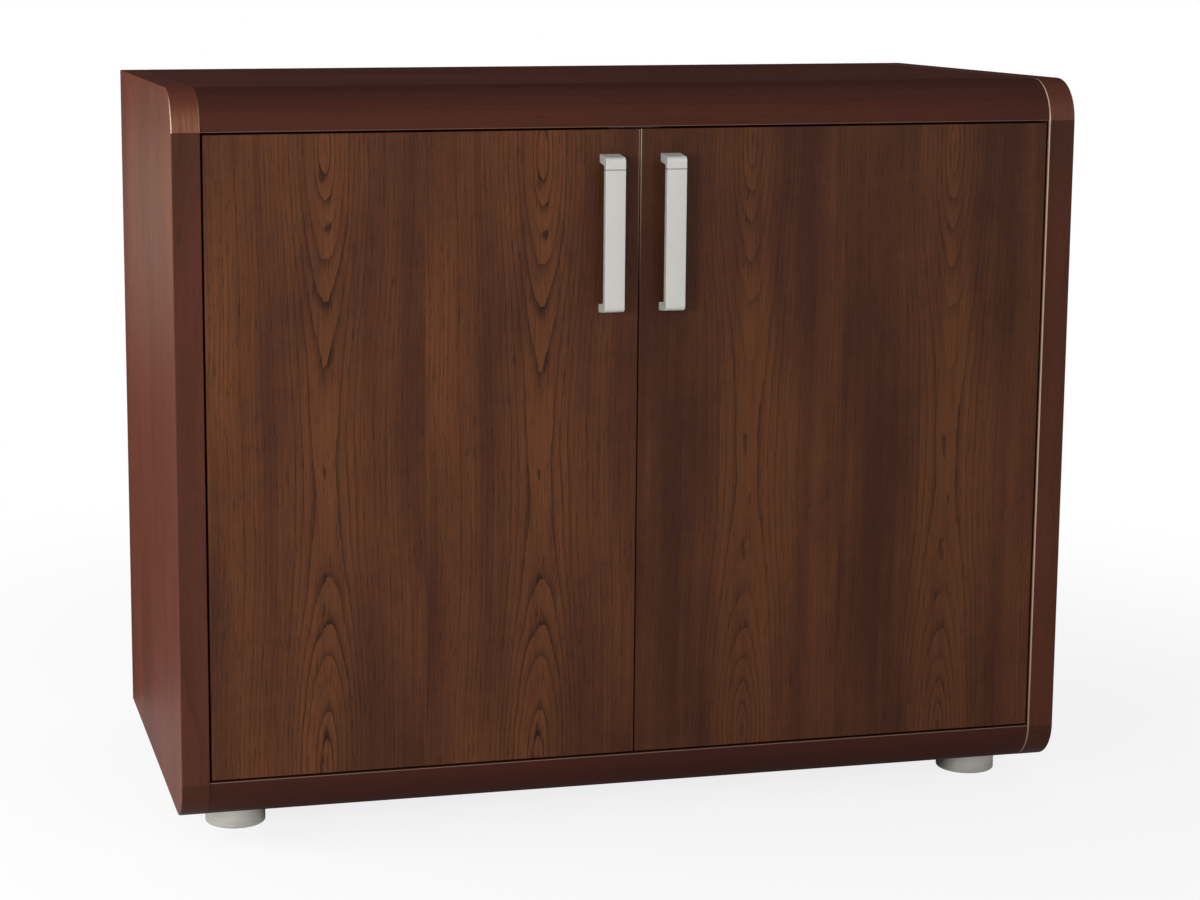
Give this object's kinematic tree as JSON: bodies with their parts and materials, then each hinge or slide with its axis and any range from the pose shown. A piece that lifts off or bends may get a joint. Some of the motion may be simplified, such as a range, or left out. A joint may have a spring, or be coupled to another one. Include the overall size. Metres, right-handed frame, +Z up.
{
  "type": "office credenza",
  "caption": "Low office credenza with rounded front corners, inset hinged doors, bridge handles, an inner shelf and round levelling feet.",
  "frame": {"origin": "on the floor, under the middle of the overall footprint, handles included", "axes": "+X to the right of someone facing the doors, +Y to the back, +Z up"},
  "size_m": [1, 0.522, 0.805],
  "materials": {
    "case_veneer": "dark stained oak veneer, satin lacquer",
    "door_veneer": "dark stained crown-cut oak veneer, satin lacquer",
    "inner_veneer": "dark stained veneer, satin lacquer",
    "back_board": "dark stained thin board",
    "beech": "raw beech",
    "handle_metal": "satin",
    "foot_metal": "brushed",
    "hinge_nickel": "nickel plated",
    "zinc_plated_steel": "zinc plated",
    "glide_plastic": "moulded",
    "stop_plastic": "moulded",
    "buffer_rubber": "soft clear-grey buffer"
  },
  "bodies": {
    "case": {"left_side_panel": "case_veneer", "right_side_panel": "case_veneer", "top_panel": "case_veneer", "bottom_panel": "case_veneer", "back_panel": "back_board", "shelf": "inner_veneer", "shelf_pins": "zinc_plated_steel", "cam_bolts": "zinc_plated_steel", "cam_locks": "zinc_plated_steel", "dowels": "beech", "door_stop": "stop_plastic", "door_stop_screws": "zinc_plated_steel", "door_buffers": "buffer_rubber", "hinge_plate_screws": "zinc_plated_steel", "foot_screws": "zinc_plated_steel", "left_upper_hinge_arm": "hinge_nickel", "left_upper_hinge_plate": "hinge_nickel", "left_lower_hinge_arm": "hinge_nickel", "left_lower_hinge_plate": "hinge_nickel", "right_upper_hinge_arm": "hinge_nickel", "right_upper_hinge_plate": "hinge_nickel", "right_lower_hinge_arm": "hinge_nickel", "right_lower_hinge_plate": "hinge_nickel", "front_left_foot_housing": "foot_metal", "front_right_foot_housing": "foot_metal", "back_left_foot_housing": "foot_metal", "back_right_foot_housing": "foot_metal"},
    "left_door": {"left_door": "door_veneer", "left_handle_bar": "handle_metal", "left_handle_upper_end": "handle_metal", "left_handle_lower_end": "handle_metal", "left_handle_screws": "zinc_plated_steel", "left_upper_hinge_cup": "hinge_nickel", "left_lower_hinge_cup": "hinge_nickel", "left_hinge_cup_screws": "zinc_plated_steel"},
    "left_hinge_links": {"left_upper_hinge_link": "hinge_nickel", "left_lower_hinge_link": "hinge_nickel"},
    "right_door": {"right_door": "door_veneer", "right_handle_bar": "handle_metal", "right_handle_upper_end": "handle_metal", "right_handle_lower_end": "handle_metal", "right_handle_screws": "zinc_plated_steel", "right_upper_hinge_cup": "hinge_nickel", "right_lower_hinge_cup": "hinge_nickel", "right_hinge_cup_screws": "zinc_plated_steel"},
    "right_hinge_links": {"right_upper_hinge_link": "hinge_nickel", "right_lower_hinge_link": "hinge_nickel"},
    "front_left_glide": {"front_left_foot_glide": "glide_plastic"},
    "front_left_spindle": {"front_left_foot_spindle": "zinc_plated_steel"},
    "front_right_glide": {"front_right_foot_glide": "glide_plastic"},
    "front_right_spindle": {"front_right_foot_spindle": "zinc_plated_steel"},
    "back_left_glide": {"back_left_foot_glide": "glide_plastic"},
    "back_left_spindle": {"back_left_foot_spindle": "zinc_plated_steel"},
    "back_right_glide": {"back_right_foot_glide": "glide_plastic"},
    "back_right_spindle": {"back_right_foot_spindle": "zinc_plated_steel"}
  },
  "joints": [
    {"name": "left_door_hinge", "type": "hinge", "parent": "case", "child": "left_door", "pos_m": [-0.4675, -0.237, 0.415], "axis": [0, 0, -1], "range_deg": [0, 95]},
    {"name": "left_hinge_link_pivot", "type": "hinge", "parent": "case", "child": "left_hinge_links", "pos_m": [-0.464, -0.2167, 0.415], "axis": [0, 0, -1], "range_deg": [0, 61.75]},
    {"name": "right_door_hinge", "type": "hinge", "parent": "case", "child": "right_door", "pos_m": [0.4675, -0.237, 0.415], "axis": [0, 0, 1], "range_deg": [0, 95]},
    {"name": "right_hinge_link_pivot", "type": "hinge", "parent": "case", "child": "right_hinge_links", "pos_m": [0.464, -0.2167, 0.415], "axis": [0, 0, 1], "range_deg": [0, 61.75]},
    {"name": "front_left_glide_travel", "type": "slide", "parent": "case", "child": "front_left_glide", "axis": [0, 0, -1], "range_m": [0, 0.008]},
    {"name": "front_left_spindle_turn", "type": "hinge", "parent": "front_left_glide", "child": "front_left_spindle", "pos_m": [-0.4315, -0.154, 0.02], "axis": [0, 0, -1], "range_deg": [0, 2881]},
    {"name": "front_right_glide_travel", "type": "slide", "parent": "case", "child": "front_right_glide", "axis": [0, 0, -1], "range_m": [0, 0.008]},
    {"name": "front_right_spindle_turn", "type": "hinge", "parent": "front_right_glide", "child": "front_right_spindle", "pos_m": [0.4315, -0.154, 0.02], "axis": [0, 0, -1], "range_deg": [0, 2881]},
    {"name": "back_left_glide_travel", "type": "slide", "parent": "case", "child": "back_left_glide", "axis": [0, 0, -1], "range_m": [0, 0.008]},
    {"name": "back_left_spindle_turn", "type": "hinge", "parent": "back_left_glide", "child": "back_left_spindle", "pos_m": [-0.4315, 0.176, 0.02], "axis": [0, 0, -1], "range_deg": [0, 2881]},
    {"name": "back_right_glide_travel", "type": "slide", "parent": "case", "child": "back_right_glide", "axis": [0, 0, -1], "range_m": [0, 0.008]},
    {"name": "back_right_spindle_turn", "type": "hinge", "parent": "back_right_glide", "child": "back_right_spindle", "pos_m": [0.4315, 0.176, 0.02], "axis": [0, 0, -1], "range_deg": [0, 2881]}
  ],
  "couplings": [
    {"joint": "left_hinge_link_pivot", "follows": "left_door_hinge", "ratio": 0.65},
    {"joint": "right_hinge_link_pivot", "follows": "right_door_hinge", "ratio": 0.65},
    {"joint": "front_left_spindle_turn", "follows": "front_left_glide_travel", "rad_per_m": 6283.2},
    {"joint": "front_right_spindle_turn", "follows": "front_right_glide_travel", "rad_per_m": 6283.2},
    {"joint": "back_left_spindle_turn", "follows": "back_left_glide_travel", "rad_per_m": 6283.2},
    {"joint": "back_right_spindle_turn", "follows": "back_right_glide_travel", "rad_per_m": 6283.2}
  ]
}
